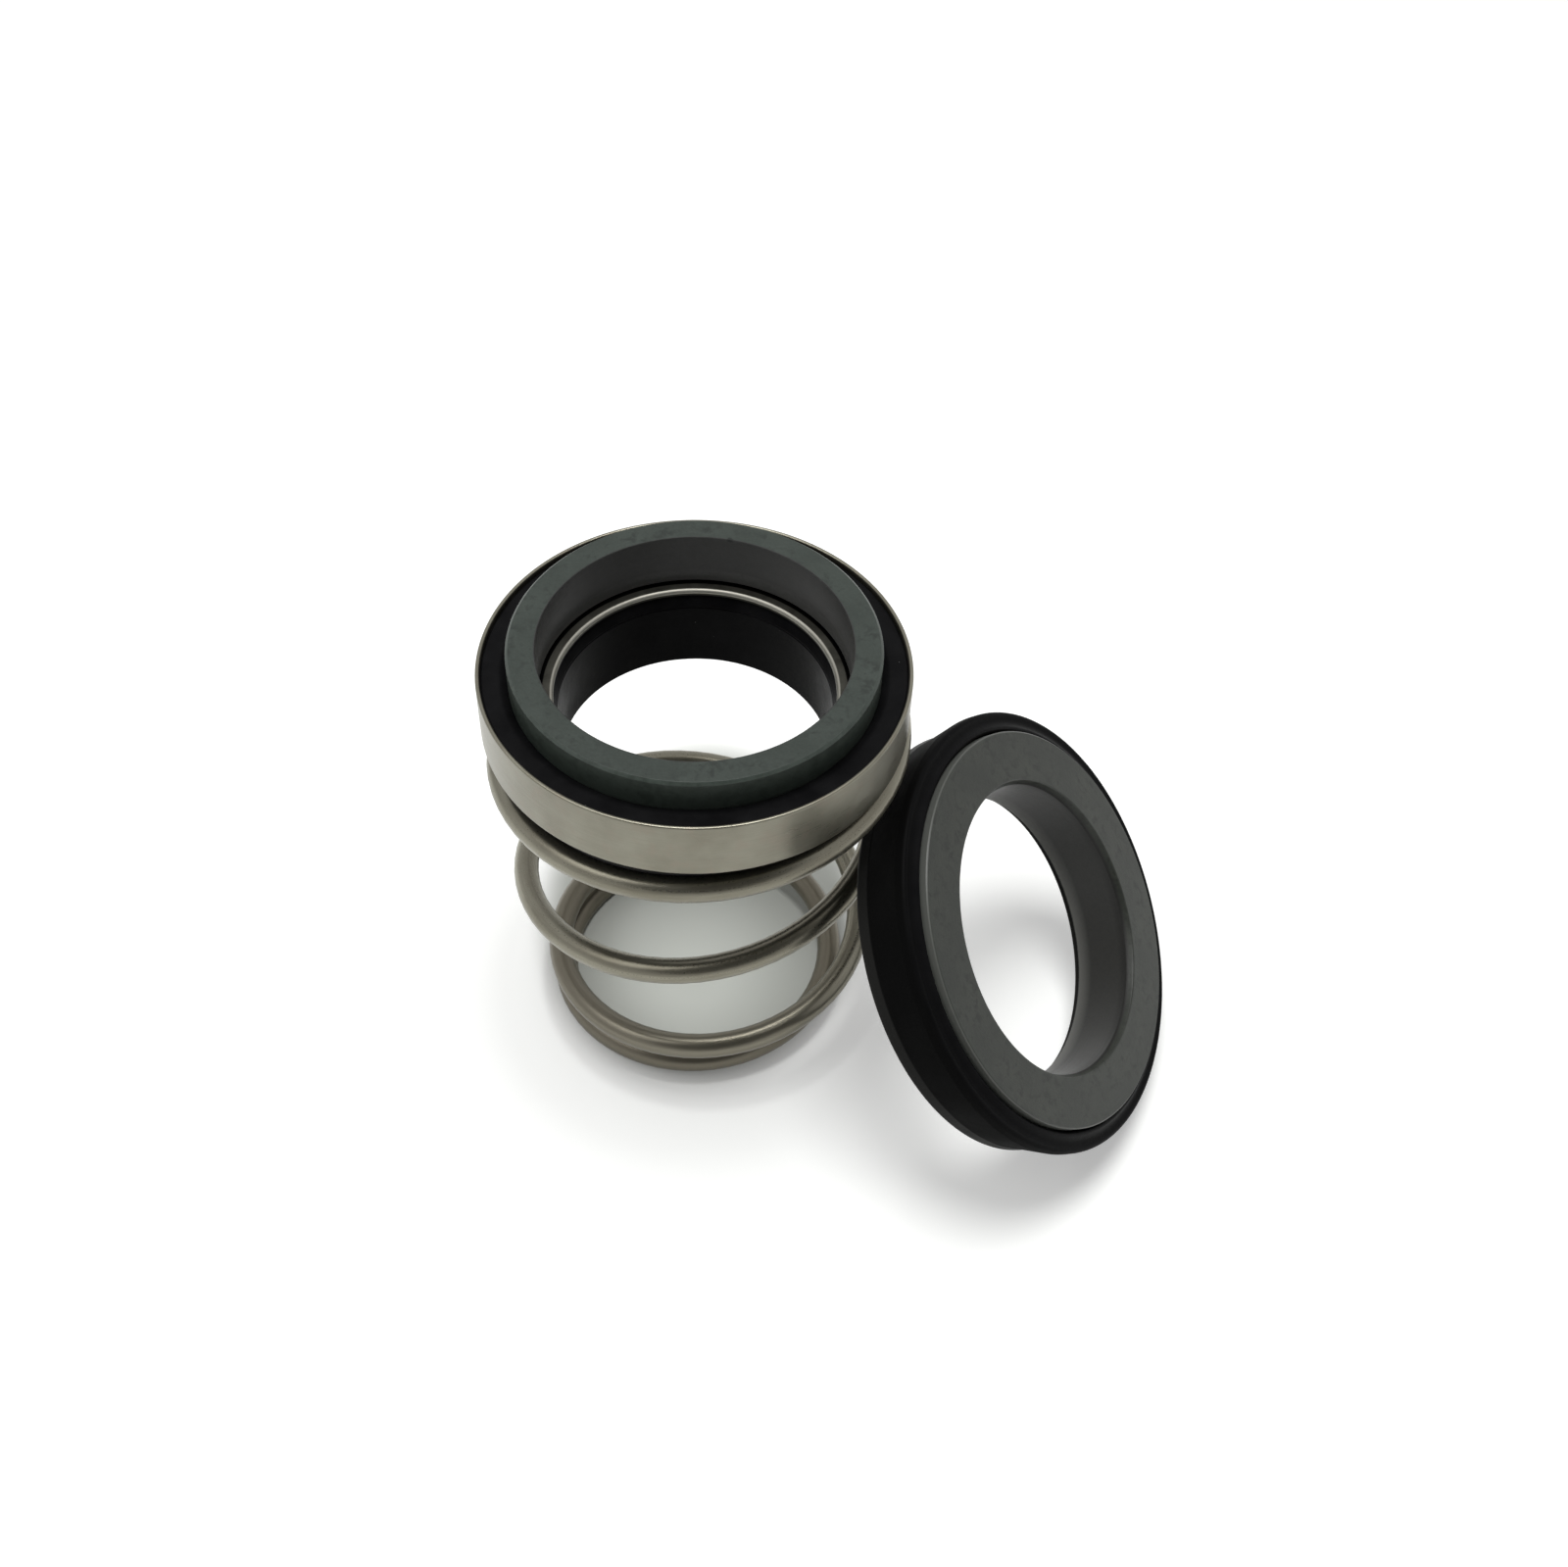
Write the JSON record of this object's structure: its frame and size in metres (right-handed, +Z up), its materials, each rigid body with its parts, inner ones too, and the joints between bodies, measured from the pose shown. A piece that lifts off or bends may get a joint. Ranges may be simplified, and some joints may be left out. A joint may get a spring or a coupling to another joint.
{
  "type": "mechanical shaft seal",
  "caption": "Rubber-bellows shaft seal with a conical spring and hard face ring, its stationary seat ring in a rubber boot leaning beside it.",
  "frame": {"origin": "on the shaft axis, in the plane of the shaft shoulder that the spring's ground foot stands on", "axes": "+Z up along the shaft axis towards the sealing face of the head, +X towards the side where the seat leans"},
  "size_m": [0.0676, 0.05, 0.0468],
  "materials": {
    "seal_face_ceramic": "lapped dark silicon carbide",
    "bellows_rubber": "moulded black rubber",
    "band_steel": "drawn stainless steel",
    "backing_steel": "stainless steel",
    "spring_steel": "drawn stainless spring wire",
    "seat_ceramic": "lapped dark silicon carbide",
    "boot_rubber": "moulded black rubber"
  },
  "bodies": {
    "spring_and_seat": {"spring": "spring_steel", "seat_ring": "seat_ceramic", "seat_boot": "boot_rubber"},
    "head": {"rotary_face": "seal_face_ceramic", "bellows": "bellows_rubber", "outer_band": "band_steel", "backing_ring": "backing_steel"}
  },
  "joints": [
    {"name": "spring_compression", "type": "slide", "parent": "spring_and_seat", "child": "head", "axis": [0, 0, 1], "range_m": [-0.003, 0], "stiffness_N_per_m": 6000, "deforming": ["spring"]}
  ]
}
